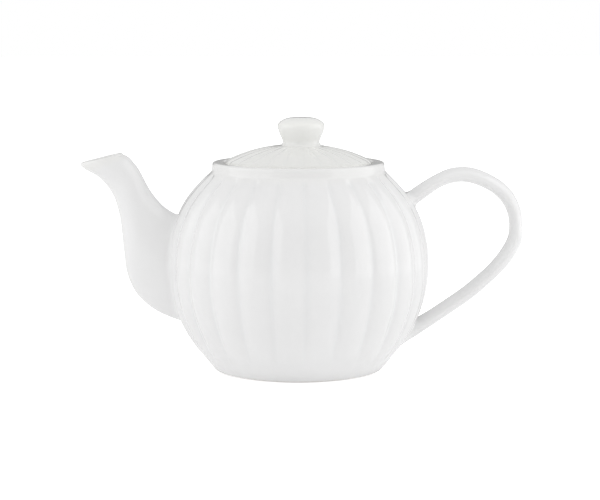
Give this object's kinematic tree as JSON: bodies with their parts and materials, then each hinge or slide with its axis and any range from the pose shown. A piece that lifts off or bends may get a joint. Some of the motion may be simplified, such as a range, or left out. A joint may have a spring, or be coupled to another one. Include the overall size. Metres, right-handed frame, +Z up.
{
  "type": "teapot",
  "caption": "Fluted round teapot with an upswept spout, a large ear handle and a lift-off fluted lid with a waisted knob, for brewing and pouring tea.",
  "frame": {"origin": "centre of the foot ring, on the table plane", "axes": "+Z up along the pot's axis, -X towards the spout, +X towards the handle; the plane y = 0 cuts both in half"},
  "size_m": [0.2477, 0.1446, 0.141],
  "materials": {
    "white_glaze": "glossy white glaze over pale stoneware",
    "lid_glaze": "glossy white glaze over pale stoneware",
    "bare_clay": "matt unglazed stoneware, ground flat where it rests"
  },
  "bodies": {
    "pot": {"pot_body": "white_glaze", "foot_ring": "bare_clay", "spout": "white_glaze", "handle": "white_glaze"},
    "lid": {"lid": "lid_glaze", "lid_knob": "lid_glaze", "lid_lock_tab": "lid_glaze"}
  },
  "joints": [
    {"name": "lid_lift", "type": "slide", "parent": "pot", "child": "lid", "axis": [0, 0, 1], "range_m": [0, 0.08]}
  ]
}
